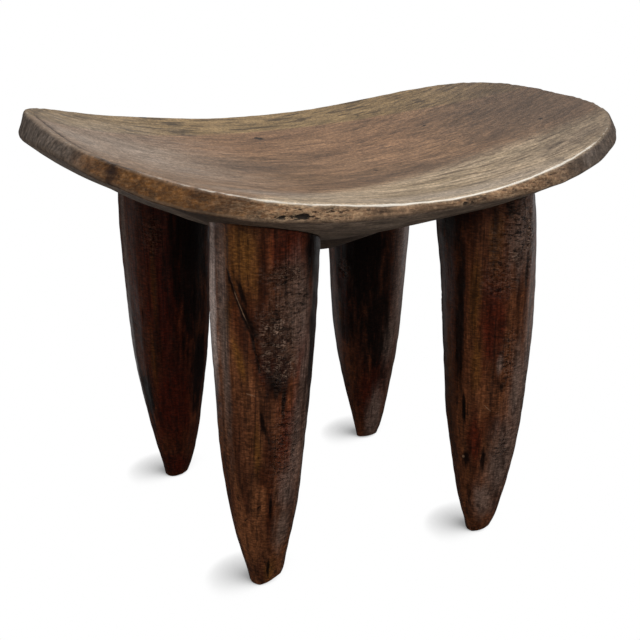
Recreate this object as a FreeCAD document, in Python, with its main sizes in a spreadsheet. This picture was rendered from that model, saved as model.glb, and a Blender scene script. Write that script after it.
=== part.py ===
import FreeCAD, Part
import math
import os
import Sketcher

# Carved wooden stool: a dished, upswept seat on four bullet-shaped legs.
# Each leg ends in a shoulder scribed to the belly of the seat and a round blind tenon.
# A hidden wedge in a kerf spreads each tenon against the roof of its mortise.
# Millimetres, +Z up, the origin on the floor midway between the feet, +X along the seat.

DIMENSIONS = {
    # Outline of the seat along its top edge
    "seat_length": 545,
    "seat_width": 415,
    "side_radius": 715,
    "end_radius": 680,
    "corner_radius": 158,
    # Height of the top edge at the middle of the long sides, the rise to its ends and the hollow
    "seat_height": 376,
    "end_rise": 47,
    "dish_depth": 16,
    # Rim wall: how far its lower edge lies below and outside the top edge
    "rim_wall_end": 27.5,
    "rim_wall_side": 17,
    "end_flare": 14,
    "side_flare": 4,
    "rim_rounding": 4,
    "ridge_rounding": 6,
    # Underside: a boat-shaped belly with a round boss between the legs
    "seat_thickness": 57,
    "boss_depth": 20,
    "boss_radius": 100,
    "boss_sphere_radius": 150,
    "boss_blend": 45,
    # Legs
    "leg_spread": 237,
    "leg_stance": 247,
    "leg_radius": 48,
    "leg_waist_radius": 39.5,
    "leg_waist_height": 150,
    "foot_radius": 13.2,
    "foot_rounding": 3,
    # Joints between the legs and the seat
    "glue_line": 0.2,
    "tenon_radius": 22,
    "tenon_clearance": 0.15,
    "mortise_roof": 9,
    "tenon_end_gap": 2,
    "wedge_length": 18,
    "wedge_width": 38,
    "wedge_butt": 5,
    "wedge_tip": 1.2,
    # How far a cutting shape reaches past what it cuts
    "cut_margin": 12,
}

CORNERS = {
    "front_left": (-1, -1),
    "front_right": (1, -1),
    "back_left": (-1, 1),
    "back_right": (1, 1),
}

# A sketch's own places: its origin, the ends and the centre of an edge, and its two axes
ORIGIN, START, END, CENTRE = (-1, 1), 1, 2, 3
ACROSS_AXIS, UP_AXIS = -1, -2
# Degrees: a quarter turn, a full turn, and a sweep that carries a section past both ends of the seat
QUARTER_TURN, FULL_TURN, BEND_SWEEP = 90, 360, 150
# Points nearer than this are the same place
SAME_PLACE = 0.001

doc = FreeCAD.newDocument("carved_stool")
sheet = doc.addObject("Spreadsheet::Sheet", "Sizes")
for row, (alias, value) in enumerate(DIMENSIONS.items(), start=1):
    sheet.set(f"A{row}", alias)
    sheet.set(f"B{row}", str(value))
    sheet.setAlias(f"B{row}", alias)
doc.recompute()


def arc_radius(half_chord, rise):
    """The radius of the arc that spans twice half_chord and rises by rise, as an expression."""
    return f"((({half_chord})^2 + ({rise})^2) / (2 * ({rise})))"


def half_length_at(height):
    """Half the seat's length inside the rim wall at a height: the wall leans outwards on its way down."""
    return f"({HALF_LENGTH} + ({RIM_END} - {height}) * Sizes.end_flare / Sizes.rim_wall_end)"


def half_width_at(height):
    """Half the seat's width inside the rim wall at a height."""
    return f"({HALF_WIDTH} + (Sizes.seat_height - {height}) * Sizes.side_flare / Sizes.rim_wall_side)"


HALF_LENGTH = "Sizes.seat_length / 2"
HALF_WIDTH = "Sizes.seat_width / 2"
LEG_X = "Sizes.leg_spread / 2"
LEG_Y = "Sizes.leg_stance / 2"
RIM_END = "(Sizes.seat_height + Sizes.end_rise)"
DISH_LOW = "(Sizes.seat_height - Sizes.dish_depth)"
BELLY_LOW = f"({DISH_LOW} - Sizes.seat_thickness)"
BOSS_LOW = f"({BELLY_LOW} - Sizes.boss_depth)"
DISH_BEND = arc_radius(HALF_LENGTH, "Sizes.end_rise + Sizes.dish_depth")
DISH_ARC = arc_radius(HALF_WIDTH, "Sizes.dish_depth")
RIDGE_END = f"({RIM_END} - Sizes.rim_wall_end)"
RIDGE_SIDE = "(Sizes.seat_height - Sizes.rim_wall_side)"
BELLY_BEND = arc_radius(f"{HALF_LENGTH} + Sizes.end_flare", f"{RIDGE_END} - {BELLY_LOW}")
BELLY_ARC = arc_radius(f"{HALF_WIDTH} + Sizes.side_flare", f"{RIDGE_SIDE} - {BELLY_LOW}")
WALL_LOW = f"({BOSS_LOW} - Sizes.cut_margin)"
WALL_HIGH = f"({RIM_END} + Sizes.cut_margin)"
CUT_REACH = f"({half_width_at(WALL_LOW)} + Sizes.cut_margin)"
CUT_TOP = f"({RIM_END} + 2 * Sizes.cut_margin)"

# The mortise stops mortise_roof below the dish, measured at the mortise's side nearest the middle.
MORTISE_RADIUS = "(Sizes.tenon_radius + Sizes.tenon_clearance)"
NEAR_X = f"({LEG_X} - {MORTISE_RADIUS} * sqrt(0.5))"
NEAR_Y = f"({LEG_Y} - {MORTISE_RADIUS} * sqrt(0.5))"
NEAR_BEND = f"({DISH_BEND} - {DISH_ARC} + sqrt({DISH_ARC}^2 - {NEAR_Y}^2))"
NEAR_DISH = f"({DISH_LOW} + {DISH_BEND} - sqrt({NEAR_BEND}^2 - {NEAR_X}^2))"
MORTISE_TOP = f"({NEAR_DISH} - Sizes.mortise_roof)"
TENON_TOP = f"({MORTISE_TOP} - Sizes.tenon_end_gap)"


def leg_place(signs):
    """Where a leg's axis stands, across and along, as two expressions."""
    side, end = signs
    return f"{side} * {LEG_X}", f"{end} * {LEG_Y}"


def size(expression):
    """The present value of an expression over the sheet's cells."""
    return float(sheet.evalExpression(expression))


def new_sketch(body, name, role, height="0"):
    """A sketch on one of the body's own origin planes, raised along the plane's normal."""
    plane = next(item for item in body.Origin.OriginFeatures if item.Role == role)
    sketch = body.newObject("Sketcher::SketchObject", name)
    sketch.AttachmentSupport = [(plane, "")]
    sketch.MapMode = "FlatFace"
    sketch.setExpression("AttachmentOffset.Base.z", height)
    return sketch


def drive(sketch, kind, places, expression):
    """Add a dimension between the given places of the sketch and bind it to an expression."""
    index = sketch.addConstraint(Sketcher.Constraint(kind, *places, size(expression)))
    name = f"size_{index}"
    sketch.renameConstraint(index, name)
    sketch.setExpression(f"Constraints.{name}", expression)


def join(sketch, edges):
    """Join each edge's end to the start of the next, all the way round."""
    for first, second in zip(edges, edges[1:] + edges[:1]):
        sketch.addConstraint(Sketcher.Constraint("Coincident", first, END, second, START))


def line(sketch, start, end):
    """A straight edge between two points given as (across, up)."""
    return sketch.addGeometry(Part.LineSegment(FreeCAD.Vector(*start), FreeCAD.Vector(*end)))


def arc(sketch, centre, radius, start, end):
    """An edge round centre from one angle to another, in radians."""
    circle = Part.Circle(FreeCAD.Vector(*centre), FreeCAD.Vector(0, 0, 1), radius)
    return sketch.addGeometry(Part.ArcOfCircle(circle, start, end))


def oval(body, name, height):
    """The seat's outline at a height: two end arcs, two side arcs and four corner arcs, all tangent."""
    half_length, half_width = half_length_at(height), half_width_at(height)
    end_radius, side_radius = size("Sizes.end_radius"), size("Sizes.side_radius")
    corner_radius = size("Sizes.corner_radius")
    end_offset, side_offset = size(half_length) - end_radius, size(half_width) - side_radius

    # The corner arc's centre lies where two circles cross, one about each neighbour's centre.
    gap = math.hypot(end_offset, side_offset)
    to_end, to_side = end_radius - corner_radius, side_radius - corner_radius
    along = (to_side ** 2 - to_end ** 2 + gap ** 2) / (2 * gap)
    aside = math.sqrt(to_side ** 2 - along ** 2)
    corner_x = (end_offset * along - side_offset * aside) / gap
    corner_y = side_offset - (side_offset * along + end_offset * aside) / gap
    low = math.atan2(corner_y, corner_x - end_offset)
    high = math.atan2(corner_y - side_offset, corner_x)

    sketch = new_sketch(body, name, "XY_Plane", height)
    half_turn = math.pi
    edges = [
        arc(sketch, (end_offset, 0), end_radius, -low, low),
        arc(sketch, (corner_x, corner_y), corner_radius, low, high),
        arc(sketch, (0, side_offset), side_radius, high, half_turn - high),
        arc(sketch, (-corner_x, corner_y), corner_radius, half_turn - high, half_turn - low),
        arc(sketch, (-end_offset, 0), end_radius, half_turn - low, half_turn + low),
        arc(sketch, (-corner_x, -corner_y), corner_radius, half_turn + low, half_turn + high),
        arc(sketch, (0, -side_offset), side_radius, half_turn + high, 2 * half_turn - high),
        arc(sketch, (corner_x, -corner_y), corner_radius, 2 * half_turn - high, 2 * half_turn - low),
    ]
    for first, second in zip(edges, edges[1:] + edges[:1]):
        sketch.addConstraint(Sketcher.Constraint("Tangent", first, END, second, START))
    right, first_corner, back, _, left, _, front, _ = edges
    for edge, axis in ((right, ACROSS_AXIS), (left, ACROSS_AXIS), (back, UP_AXIS), (front, UP_AXIS)):
        sketch.addConstraint(Sketcher.Constraint("PointOnObject", edge, CENTRE, axis))
    sketch.addConstraint(Sketcher.Constraint("Equal", right, left))
    sketch.addConstraint(Sketcher.Constraint("Equal", back, front))
    for corner in edges[3::2]:
        sketch.addConstraint(Sketcher.Constraint("Equal", first_corner, corner))
    drive(sketch, "Radius", (right,), "Sizes.end_radius")
    drive(sketch, "Radius", (back,), "Sizes.side_radius")
    drive(sketch, "Radius", (first_corner,), "Sizes.corner_radius")
    drive(sketch, "DistanceX", (*ORIGIN, right, CENTRE), f"{half_length} - Sizes.end_radius")
    drive(sketch, "DistanceX", (*ORIGIN, left, CENTRE), f"Sizes.end_radius - {half_length}")
    drive(sketch, "DistanceY", (*ORIGIN, back, CENTRE), f"{half_width} - Sizes.side_radius")
    drive(sketch, "DistanceY", (*ORIGIN, front, CENTRE), f"Sizes.side_radius - {half_width}")
    return sketch


def make_wall_form():
    """The block inside the rim wall: the outline spreads from the top edge down."""
    body = doc.addObject("PartDesign::Body", "WallForm")
    low = oval(body, "WallLowOutline", WALL_LOW)
    high = oval(body, "WallHighOutline", WALL_HIGH)
    doc.recompute()
    wall = body.newObject("PartDesign::AdditiveLoft", "RimWall")
    wall.Profile = low
    wall.Sections = [high]
    wall.Ruled = True
    doc.recompute()
    return body


def make_bent_form(name, low, cross_arc, bend):
    """The space above a trough: an arc across the seat, turned about a level line high above it."""
    body = doc.addObject("PartDesign::Body", name)
    sketch = new_sketch(body, f"{name}Section", "YZ_Plane")
    reach, bottom, radius, top = size(CUT_REACH), size(low), size(cross_arc), size(CUT_TOP)
    half_angle = math.asin(reach / radius)
    edge = bottom + radius - math.sqrt(radius ** 2 - reach ** 2)
    down = -math.pi / 2
    trough = arc(sketch, (0, bottom + radius), radius, down - half_angle, down + half_angle)
    right = line(sketch, (reach, edge), (reach, top))
    lid = line(sketch, (reach, top), (-reach, top))
    left = line(sketch, (-reach, top), (-reach, edge))
    join(sketch, [trough, right, lid, left])
    sketch.addConstraint(Sketcher.Constraint("PointOnObject", trough, CENTRE, UP_AXIS))
    for upright in (right, left):
        sketch.addConstraint(Sketcher.Constraint("Vertical", upright))
    sketch.addConstraint(Sketcher.Constraint("Horizontal", lid))
    drive(sketch, "Radius", (trough,), cross_arc)
    drive(sketch, "DistanceY", (*ORIGIN, trough, CENTRE), f"{low} + {cross_arc}")
    drive(sketch, "DistanceX", (*ORIGIN, right, START), CUT_REACH)
    drive(sketch, "DistanceX", (left, START, *ORIGIN), CUT_REACH)
    drive(sketch, "DistanceY", (*ORIGIN, lid, START), CUT_TOP)
    pivot_height = size(f"{low} + {bend}")
    pivot = line(sketch, (-reach, pivot_height), (reach, pivot_height))
    sketch.setConstruction(pivot, True)
    sketch.addConstraint(Sketcher.Constraint("Symmetric", pivot, START, pivot, END, UP_AXIS))
    drive(sketch, "DistanceY", (*ORIGIN, pivot, START), f"{low} + {bend}")
    drive(sketch, "DistanceX", (pivot, START, pivot, END), CUT_REACH)
    doc.recompute()
    turned = body.newObject("PartDesign::Revolution", f"{name}Turned")
    turned.Profile = sketch
    turned.ReferenceAxis = (sketch, ["Axis0"])
    turned.Midplane = True
    turned.Angle = BEND_SWEEP
    doc.recompute()
    return body


def make_belly_form(name, drop):
    """The space above the seat's underside: the boat-shaped belly with the round boss under it."""
    body = make_bent_form(name, BELLY_LOW, BELLY_ARC, BELLY_BEND)
    sketch = new_sketch(body, f"{name}BossSection", "XZ_Plane")
    radius, sphere = size("Sizes.boss_radius"), size("Sizes.boss_sphere_radius")
    bottom = size(BOSS_LOW)
    edge = bottom + sphere - math.sqrt(sphere ** 2 - radius ** 2)
    down = -math.pi / 2
    cap = arc(sketch, (0, bottom + sphere), sphere, down, down + math.asin(radius / sphere))
    lid = line(sketch, (radius, edge), (0, edge))
    axis = line(sketch, (0, edge), (0, bottom))
    join(sketch, [cap, lid, axis])
    sketch.addConstraint(Sketcher.Constraint("PointOnObject", cap, CENTRE, UP_AXIS))
    sketch.addConstraint(Sketcher.Constraint("PointOnObject", cap, START, UP_AXIS))
    sketch.addConstraint(Sketcher.Constraint("Horizontal", lid))
    sketch.addConstraint(Sketcher.Constraint("Vertical", axis))
    drive(sketch, "Radius", (cap,), "Sizes.boss_sphere_radius")
    drive(sketch, "DistanceX", (*ORIGIN, lid, START), "Sizes.boss_radius")
    drive(sketch, "DistanceY", (*ORIGIN, cap, CENTRE), f"{BOSS_LOW} + Sizes.boss_sphere_radius")
    doc.recompute()
    boss = body.newObject("PartDesign::Revolution", f"{name}Boss")
    boss.Profile = sketch
    boss.ReferenceAxis = (sketch, ["V_Axis"])
    boss.Angle = FULL_TURN
    body.setExpression("Placement.Base.z", f"-({drop})")
    doc.recompute()
    return body


def combine(kind, name, base, tool):
    """One shape cut from, kept within or joined to another."""
    result = doc.addObject(f"Part::{kind}", name)
    result.Base = base
    result.Tool = tool
    result.Refine = True
    return result


def place(item, across, along, up):
    """Bind an object's place to three expressions."""
    for axis, expression in zip("xyz", (across, along, up)):
        item.setExpression(f"Placement.Base.{axis}", expression)


def make_post(name, radius, low, high, across, along):
    """An upright cylinder between two heights."""
    post = doc.addObject("Part::Cylinder", name)
    post.setExpression("Radius", radius)
    post.setExpression("Height", f"{high} - {low}")
    place(post, across, along, low)
    return post


def make_wedge(name, width, across, along):
    """A wedge with its thin edge down and its butt against the roof of the mortise."""
    wedge = doc.addObject("Part::Wedge", name)
    sides = {
        "X": "Sizes.wedge_tip / 2",
        "X2": "Sizes.wedge_butt / 2",
        "Z": f"({width}) / 2",
        "Z2": f"({width}) / 2",
    }
    for side, half in sides.items():
        wedge.setExpression(f"{side}min", f"-({half})")
        wedge.setExpression(f"{side}max", half)
    wedge.Ymin = 0
    wedge.setExpression("Ymax", "Sizes.wedge_length")
    wedge.Placement.Rotation = FreeCAD.Rotation(FreeCAD.Vector(1, 0, 0), QUARTER_TURN)
    place(wedge, across, along, f"{MORTISE_TOP} - Sizes.wedge_length")
    return wedge


def edges_on(shape, first_form, second_form):
    """The numbers of the edges whose middle lies on the surfaces of both forms."""
    found = []
    for number, edge in enumerate(shape.Edges, start=1):
        middle = Part.Vertex(edge.valueAt((edge.FirstParameter + edge.LastParameter) / 2))
        gaps = [form.Shape.Shells[0].distToShape(middle)[0] for form in (first_form, second_form)]
        if max(gaps) < SAME_PLACE:
            found.append(number)
    return found


def boss_edges(shape):
    """The numbers of the edges where the round boss meets the bent belly."""
    found = []
    for number, edge in enumerate(shape.Edges, start=1):
        kinds = {face.Surface.TypeId for face in shape.ancestorsOfType(edge, Part.Face)}
        if len(kinds) > 1 and "Part::GeomSphere" in kinds:
            found.append(number)
    return found


def make_seat():
    """The seat: the block between the rim wall and the belly, dished, rounded and mortised."""
    wall = make_wall_form()
    belly = make_belly_form("BellyForm", "0")
    dish = make_bent_form("DishForm", DISH_LOW, DISH_ARC, DISH_BEND)
    blended = doc.addObject("Part::Fillet", "BlendedBelly")
    blended.Base = belly
    blend = size("Sizes.boss_blend")
    blended.Edges = [(number, blend, blend) for number in boss_edges(belly.Shape)]
    block = combine("Common", "SeatBlock", wall, blended)
    dished = combine("Cut", "DishedBlock", block, dish)
    doc.recompute()
    rounded = doc.addObject("Part::Fillet", "RoundedBlock")
    rounded.Base = dished
    roundings = ((dish, size("Sizes.rim_rounding")), (belly, size("Sizes.ridge_rounding")))
    rounded.Edges = [
        (number, radius, radius)
        for form, radius in roundings
        for number in edges_on(dished.Shape, wall, form)
    ]
    doc.recompute()
    mortises = doc.addObject("Part::MultiFuse", "Mortises")
    mortises.Shapes = [
        make_post(f"mortise_{corner}", MORTISE_RADIUS, WALL_LOW, MORTISE_TOP, *leg_place(signs))
        for corner, signs in CORNERS.items()
    ]
    seat = combine("Cut", "seat", rounded, mortises)
    doc.recompute()
    return seat


def make_leg_blank(name, across, along):
    """A leg before it is fitted: two tangent arcs turned about its axis, with a blunt foot."""
    body = doc.addObject("PartDesign::Body", name)
    sketch = new_sketch(body, f"{name}Profile", "XZ_Plane")
    top = size("Sizes.seat_height")
    foot = FreeCAD.Vector(size("Sizes.foot_radius"), 0)
    waist = FreeCAD.Vector(size("Sizes.leg_waist_radius"), size("Sizes.leg_waist_height"))
    crown = FreeCAD.Vector(size("Sizes.leg_radius"), top)
    swell = crown - waist
    upper_radius = swell.Length ** 2 / (2 * swell.x)
    upper_centre = crown - FreeCAD.Vector(upper_radius, 0)
    inward = (upper_centre - waist) / upper_radius
    taper = foot - waist
    lower_radius = taper.Length ** 2 / (2 * taper.dot(inward))
    lower_centre = waist + inward * lower_radius

    def angle(point, centre):
        return math.atan2(point.y - centre.y, point.x - centre.x)

    floor = line(sketch, (0, 0), (foot.x, 0))
    lower = arc(sketch, lower_centre, lower_radius, angle(foot, lower_centre), angle(waist, lower_centre))
    upper = arc(sketch, upper_centre, upper_radius, angle(waist, upper_centre), 0)
    lid = line(sketch, (crown.x, top), (0, top))
    axis = line(sketch, (0, top), (0, 0))
    for first, second in ((floor, lower), (upper, lid), (lid, axis), (axis, floor)):
        sketch.addConstraint(Sketcher.Constraint("Coincident", first, END, second, START))
    sketch.addConstraint(Sketcher.Constraint("Tangent", lower, END, upper, START))
    sketch.addConstraint(Sketcher.Constraint("Coincident", floor, START, *ORIGIN))
    for level in (floor, lid):
        sketch.addConstraint(Sketcher.Constraint("Horizontal", level))
    sketch.addConstraint(Sketcher.Constraint("Vertical", axis))
    sketch.addConstraint(Sketcher.Constraint("Horizontal", upper, CENTRE, upper, END))
    drive(sketch, "DistanceX", (*ORIGIN, floor, END), "Sizes.foot_radius")
    drive(sketch, "DistanceX", (*ORIGIN, lower, END), "Sizes.leg_waist_radius")
    drive(sketch, "DistanceY", (*ORIGIN, lower, END), "Sizes.leg_waist_height")
    drive(sketch, "DistanceX", (*ORIGIN, upper, END), "Sizes.leg_radius")
    drive(sketch, "DistanceY", (*ORIGIN, upper, END), "Sizes.seat_height")
    doc.recompute()
    turned = body.newObject("PartDesign::Revolution", f"{name}Turned")
    turned.Profile = sketch
    turned.ReferenceAxis = (sketch, ["V_Axis"])
    turned.Angle = FULL_TURN
    doc.recompute()
    edges = enumerate(turned.Shape.Edges, start=1)
    sole = [f"Edge{number}" for number, edge in edges if edge.BoundBox.ZMax < SAME_PLACE]
    rounding = body.newObject("PartDesign::Fillet", f"{name}Rounding")
    rounding.Base = (turned, sole)
    rounding.setExpression("Radius", "Sizes.foot_rounding")
    place(body, across, along, "0")
    doc.recompute()
    return body


def make_leg(corner, scribe_form, across, along):
    """A leg with its shoulder scribed to the belly, its tenon and the kerf across the tenon's top."""
    blank = make_leg_blank(f"blank_{corner}", across, along)
    scribed = combine("Cut", f"scribed_{corner}", blank, scribe_form)
    tenon = make_post(f"tenon_{corner}", "Sizes.tenon_radius", WALL_LOW, TENON_TOP, across, along)
    joined = combine("Fuse", f"tenoned_{corner}", scribed, tenon)
    kerf = make_wedge(f"kerf_{corner}", f"2 * {MORTISE_RADIUS}", across, along)
    return combine("Cut", f"leg_{corner}", joined, kerf)


pieces = [make_seat()]
scribe_form = make_belly_form("ScribeForm", "Sizes.glue_line")
for corner, signs in CORNERS.items():
    across, along = leg_place(signs)
    pieces.append(make_leg(corner, scribe_form, across, along))
    pieces.append(make_wedge(f"wedge_{corner}", "Sizes.wedge_width", across, along))
doc.recompute()

failed = [item.Name for item in doc.Objects if {"Invalid", "Error"} & set(item.State)]
if failed:
    raise RuntimeError(f"failed objects: {failed}")
for piece in pieces:
    if piece.Shape.isNull() or not piece.Shape.isValid() or len(piece.Shape.Solids) != 1:
        raise RuntimeError(f"{piece.Label} is not one valid solid")

os.makedirs("parts", exist_ok=True)
for piece in pieces:
    piece.Shape.exportStep(f"parts/{piece.Label}.step")
    print(piece.Label, round(piece.Shape.Volume / 1000, 2), "cm3", piece.Shape.BoundBox)
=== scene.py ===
"""Looks of a carved wooden stool: hand-carved skins over its joined frame, waxed wood, a white studio."""
import math

import bpy
import numpy as np
from mathutils import Matrix, Vector


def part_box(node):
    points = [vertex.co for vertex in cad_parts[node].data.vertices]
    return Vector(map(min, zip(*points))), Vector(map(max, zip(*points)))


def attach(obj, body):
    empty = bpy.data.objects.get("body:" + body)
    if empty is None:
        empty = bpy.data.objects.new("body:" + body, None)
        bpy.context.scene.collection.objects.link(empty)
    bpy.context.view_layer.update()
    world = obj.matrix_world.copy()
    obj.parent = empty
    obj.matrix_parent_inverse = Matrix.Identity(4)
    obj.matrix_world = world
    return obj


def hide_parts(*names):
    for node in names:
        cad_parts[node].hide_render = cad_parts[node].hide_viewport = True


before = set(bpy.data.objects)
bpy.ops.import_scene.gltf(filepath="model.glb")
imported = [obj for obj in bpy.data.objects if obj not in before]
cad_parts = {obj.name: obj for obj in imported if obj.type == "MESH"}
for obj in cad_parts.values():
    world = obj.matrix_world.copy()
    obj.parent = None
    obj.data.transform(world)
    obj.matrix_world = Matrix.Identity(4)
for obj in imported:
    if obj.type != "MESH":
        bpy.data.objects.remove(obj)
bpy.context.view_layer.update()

MM = 0.001
FULL_TURN = 2 * math.pi
CORNERS = ("front_left", "front_right", "back_left", "back_right")

# Seat: half sizes of its top edge, its heights, and the wall that leans outwards below the edge
HALF_LENGTH, HALF_WIDTH = 272.5 * MM, 207.5 * MM
SEAT_HEIGHT, END_RISE, DISH_DEPTH = 376 * MM, 47 * MM, 16 * MM
RIM_WALL_END, RIM_WALL_SIDE = 27.5 * MM, 17 * MM
END_FLARE, SIDE_FLARE = 14 * MM, 4 * MM
SEAT_THICKNESS, BOSS_DEPTH = 57 * MM, 20 * MM
BOSS_RADIUS, BOSS_BLEND = 150 * MM, 5.5 * MM
OUTLINE_SQUARENESS = 2.75
# How far the rounding of the lip and of the lower ridge reaches along the faces beside it
LIP_REACH, RIDGE_REACH = 5 * MM, 4 * MM
RIM_END = SEAT_HEIGHT + END_RISE
DISH_LOW = SEAT_HEIGHT - DISH_DEPTH
BELLY_LOW = DISH_LOW - SEAT_THICKNESS
BOSS_LOW = BELLY_LOW - BOSS_DEPTH

# Legs: radius of the foot, of the waist and of the crown, and the heights of the last two
FOOT_RADIUS, WAIST_RADIUS, CROWN_RADIUS = 13.2 * MM, 39.5 * MM, 48 * MM
WAIST_HEIGHT, CROWN_HEIGHT = 150 * MM, SEAT_HEIGHT
FOOT_ROUNDING = 1.8 * MM
# Joints: the glue line under the seat, the tenon and its play in the mortise, and the wedge's thickness
GLUE_LINE = 0.2 * MM
TENON_RADIUS, TENON_CLEARANCE, TENON_END_GAP = 22 * MM, 0.15 * MM, 2 * MM
WEDGE_BUTT, WEDGE_TIP = 5 * MM, 1.2 * MM
TENON_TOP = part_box("leg_front_left")[1].z
WEDGE_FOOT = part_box("wedge_front_left")[0].z

# Grid of the skins: points round the piece, and rows on each stretch of its section
SEAT_COLUMNS = 520
SEAT_ROWS = {"dish": 78, "lip": 12, "wall": 16, "ridge": 10, "belly": 62}
LEG_COLUMNS = 220
LEG_ROWS = {"tenon": 10, "shoulder": 8, "side": 330, "rounding": 5, "sole": 7}
RING = np.arange(SEAT_COLUMNS) * FULL_TURN / SEAT_COLUMNS
TURN = np.arange(LEG_COLUMNS) * FULL_TURN / LEG_COLUMNS
RING_DEGREES, TURN_DEGREES = np.degrees(RING), np.degrees(TURN)
# The way outwards from a leg's axis for each of TURN, which starts at the front
TURN_WAYS = np.column_stack([np.sin(TURN), -np.cos(TURN)])


# Shapes


def arc_radius(half_chord, rise):
    """The radius of the arc that spans twice half_chord and rises by rise."""
    return (half_chord ** 2 + rise ** 2) / (2 * rise)


DISH_BEND = arc_radius(HALF_LENGTH, END_RISE + DISH_DEPTH)
DISH_ARC = arc_radius(HALF_WIDTH, DISH_DEPTH)
BELLY_BEND = arc_radius(HALF_LENGTH + END_FLARE, RIM_END - RIM_WALL_END - BELLY_LOW)
BELLY_ARC = arc_radius(HALF_WIDTH + SIDE_FLARE, SEAT_HEIGHT - RIM_WALL_SIDE - BELLY_LOW)


def trough(x, y, low, bend, cross):
    """Height of a trough: an arc of radius cross over y, turned about a line bend above its low point."""
    reach = bend - cross + np.sqrt(cross ** 2 - y ** 2)
    return low + bend - np.sqrt(reach ** 2 - x ** 2)


def dish_height(x, y):
    """Height of the hollow top of the seat."""
    return trough(x, y, DISH_LOW, DISH_BEND, DISH_ARC)


def belly_height(x, y):
    """Height of the underside: the lower of a boat-shaped belly and a round boss, with their corner eased."""
    boat = trough(x, y, BELLY_LOW, BELLY_BEND, BELLY_ARC)
    ball = BOSS_LOW + BOSS_RADIUS - np.sqrt(np.maximum(BOSS_RADIUS ** 2 - x ** 2 - y ** 2, 0))
    share = np.clip(0.5 + 0.5 * (ball - boat) / BOSS_BLEND, 0, 1)
    return ball * (1 - share) + boat * share - BOSS_BLEND * share * (1 - share)


def turned(angle, centre=0):
    """How far an angle is turned from a centre, from -180 to 180 degrees."""
    return (angle - centre + 180) % 360 - 180


def hump(angle, centre, half_width):
    """A smooth hump round a turn, all in degrees: 1 at its centre, 0 from half_width away."""
    return 0.5 + 0.5 * np.cos(np.pi * np.clip(np.abs(turned(angle, centre)) / half_width, 0, 1))


def tent(share, middle, half_width, top=1.0):
    """A band over a share: top in its middle, 1 less at its half width, kept between 0 and 1."""
    return np.clip(top - np.abs(share - middle) / half_width, 0, 1)


def spot(across, along, half_across, half_along, slant=0):
    """A soft oval spot: 1 in its middle, a half on its edge, 0 at twice that, leaning by slant degrees."""
    lean = math.radians(slant)
    sideways = across * math.cos(lean) + along * math.sin(lean)
    lengthways = along * math.cos(lean) - across * math.sin(lean)
    return np.clip(1 - np.hypot(sideways / half_across, lengthways / half_along) / 2, 0, 1)


def ripple(points, wavelength, seed, waves=16):
    """Seeded unevenness about 0: the sum of plane waves in scattered directions, with a spread of 1."""
    rng = np.random.default_rng(seed)
    ways = rng.normal(size=(waves, 3))
    ways /= np.linalg.norm(ways, axis=1, keepdims=True) * wavelength * rng.uniform(0.7, 1.5, (waves, 1))
    angle = points @ ways.T * FULL_TURN + rng.uniform(0, FULL_TURN, waves)
    return np.sin(angle).sum(axis=-1) / math.sqrt(waves / 2)


def outward(rings):
    """Unit normals of a grid of rings: the cross product of its steps down the rows and round the rings."""
    down = np.gradient(rings, axis=0)
    across = np.roll(rings, -1, axis=1) - np.roll(rings, 1, axis=1)
    normal = np.cross(down, across)
    return normal / np.maximum(np.linalg.norm(normal, axis=-1, keepdims=True), 1e-12)


def bezier(start, corner, end, steps):
    """A rounded corner: the quadratic curve from start to end, pulled to the corner, without its ends."""
    share = (np.arange(1, steps + 1) / (steps + 1))[:, None, None]
    return (1 - share) ** 2 * start + 2 * share * (1 - share) * corner + share ** 2 * end


def set_out(name, data):
    """A new object in the scene."""
    thing = bpy.data.objects.new(name, data)
    bpy.context.scene.collection.objects.link(thing)
    return thing


def closed_skin(name, rings):
    """A closed mesh: quads between neighbouring rings, and a fan at each end to the middle of its ring."""
    rows, columns, _ = rings.shape
    points = np.vstack([rings[0].mean(axis=0), rings.reshape(-1, 3), rings[-1].mean(axis=0)])
    index = 1 + np.arange(rows * columns).reshape(rows, columns)
    beside = np.roll(index, -1, axis=1)
    first_fan = np.stack([np.zeros(columns, int), index[0], beside[0]], axis=-1)
    quads = np.stack([index[:-1], index[1:], beside[1:], beside[:-1]], axis=-1)
    last_fan = np.stack([np.full(columns, len(points) - 1), beside[-1], index[-1]], axis=-1)
    loops = np.concatenate([first_fan.ravel(), quads.ravel(), last_fan.ravel()])
    sides = np.repeat([3, 4, 3], [columns, (rows - 1) * columns, columns])
    mesh = bpy.data.meshes.new(name)
    mesh.vertices.add(len(points))
    mesh.vertices.foreach_set("co", points.ravel())
    mesh.loops.add(len(loops))
    mesh.loops.foreach_set("vertex_index", loops)
    mesh.polygons.add(len(sides))
    mesh.polygons.foreach_set("loop_start", np.cumsum(sides) - sides)
    mesh.polygons.foreach_set("use_smooth", np.ones(len(sides), bool))
    mesh.update(calc_edges=True)
    return set_out(name, mesh)


def paint(piece, fields):
    """Keep fields by name, one number for each point of a closed skin, for its finish to read."""
    for name, field in fields.items():
        layer = piece.data.attributes.new(name, "FLOAT", "POINT")
        values = [[field[0].mean()], field.ravel(), [field[-1].mean()]]
        layer.data.foreach_set("value", np.concatenate(values))


def cutter_between(name, flat_rings, levels):
    """A convex cutting shape between a low and a high ring, from their flat points and their two levels."""
    low, high = (
        np.column_stack([flat, np.full(len(flat), level)]) for flat, level in zip(flat_rings, levels)
    )
    return closed_skin(name, np.stack([high, low]))


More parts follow.
